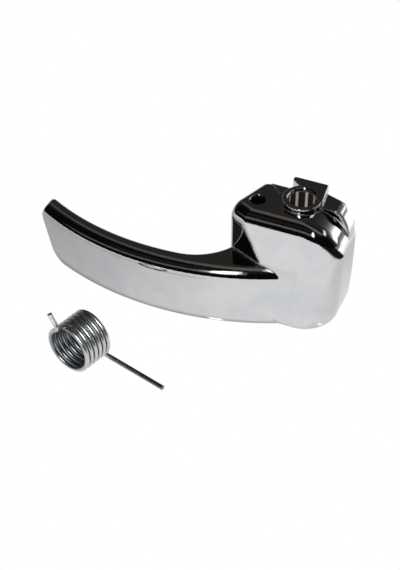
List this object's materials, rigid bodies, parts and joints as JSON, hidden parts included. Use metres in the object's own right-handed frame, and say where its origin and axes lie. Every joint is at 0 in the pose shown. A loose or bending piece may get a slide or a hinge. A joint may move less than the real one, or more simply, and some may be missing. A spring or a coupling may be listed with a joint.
{
  "type": "car inside door handle",
  "caption": "Chromed cast car inside door handle: a bowed finger blade on a block hub with a blind pivot bore and drive lug, and its steel wire torsion return spring lying beside it.",
  "frame": {"origin": "on the pivot bore axis, where the bore's straight wall starts below its chamfered mouth", "axes": "+Z out of the pivot bore, up as the handle lies; the blade reaches towards -X and its bowed show face looks towards -Y"},
  "size_m": [0.1161, 0.0807, 0.0457],
  "materials": {
    "chrome_plate": "polished chrome plate",
    "spring_steel": "bare drawn spring wire"
  },
  "bodies": {
    "root": {"handle_casting": "chrome_plate", "return_spring": "spring_steel"}
  },
  "joints": []
}
